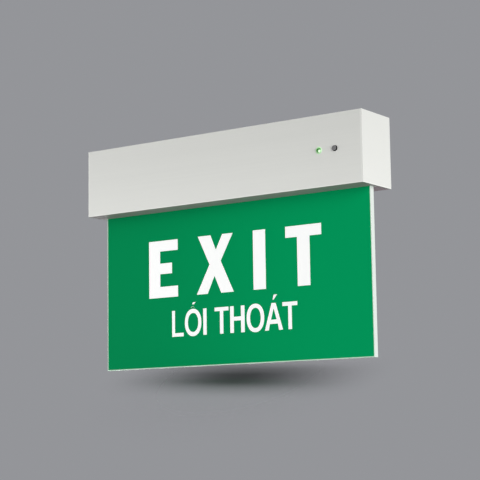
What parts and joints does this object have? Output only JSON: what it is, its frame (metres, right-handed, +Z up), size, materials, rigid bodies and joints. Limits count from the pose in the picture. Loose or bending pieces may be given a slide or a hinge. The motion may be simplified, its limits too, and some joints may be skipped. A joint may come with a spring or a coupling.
{
  "type": "emergency exit light",
  "caption": "Ceiling-mounted emergency exit light: a slim satin housing with an edge-lit green panel hanging below it, an indicator lamp and a sprung test button.",
  "frame": {"origin": "middle of the face of the ceiling plate that meets the ceiling", "axes": "+X along the housing, to the right as the sign is read; +Y from the legend to the back; +Z up into the ceiling"},
  "size_m": [0.365, 0.0605, 0.2519],
  "materials": {
    "housing_satin": "satin off-white anodised, with very fine lengthwise lines",
    "cap_satin": "satin off-white, matched to the housing",
    "plate_steel": "white powder coat on folded steel",
    "black_rubber": "matt",
    "zinc_steel": "bright zinc plate",
    "clear_acrylic": "polished clear acrylic",
    "legend_green": "translucent safety green, semi-gloss",
    "reflector_white": "white, semi-gloss",
    "strip_white": "white, semi-gloss",
    "board_white": "white solder mask on an aluminium core",
    "chip_phosphor": "phosphor-filled resin",
    "lamp_green": "diffused green resin, lit",
    "bezel_clear": "milky clear resin",
    "black_plastic": "matt",
    "button_black": "semi-gloss",
    "board_green": "green solder mask",
    "nylon_white": "natural nylon",
    "battery_sleeve": "shrunk sleeve",
    "clip_steel": "spring steel, nickel plate",
    "brass_post": "bright",
    "core_ferrite": "ferrite with a taped winding",
    "can_sleeve": "dark sleeve",
    "relay_blue": "moulded case",
    "film_yellow": "dipped case"
  },
  "bodies": {
    "sign": {"housing_profile": "housing_satin", "end_cap_left": "cap_satin", "end_cap_right": "cap_satin", "ceiling_plate": "plate_steel", "cable_grommet": "black_rubber", "cover_screws": "zinc_steel", "light_guide": "clear_acrylic", "legend_sheet": "legend_green", "reflector_sheet": "reflector_white", "edge_strip_left": "strip_white", "edge_strip_right": "strip_white", "edge_strip_bottom": "strip_white", "panel_screws": "zinc_steel", "panel_nuts": "zinc_steel", "light_board": "board_white", "light_chips": "chip_phosphor", "indicator_lamp": "lamp_green", "lamp_bezel": "bezel_clear", "lamp_spacer": "black_plastic", "test_switch": "black_plastic", "indicator_board": "board_green", "indicator_standoffs": "nylon_white", "indicator_screws": "zinc_steel", "battery_pack": "battery_sleeve", "battery_clips": "clip_steel", "control_board": "board_green", "board_standoffs": "brass_post", "board_screws": "zinc_steel", "transformer": "core_ferrite", "electrolytic_capacitors": "can_sleeve", "relay": "relay_blue", "film_capacitor": "film_yellow", "control_chip": "black_plastic", "wire_headers": "nylon_white", "terminal_block": "nylon_white", "terminal_screws": "zinc_steel", "earth_stud": "zinc_steel", "earth_nut": "brass_post"},
    "button": {"test_button": "button_black"}
  },
  "joints": [
    {"name": "test_button_press", "type": "slide", "parent": "sign", "child": "button", "axis": [0, 1, 0], "range_m": [0, 0.001], "stiffness_N_per_m": 250, "springref_m": -0.002}
  ]
}
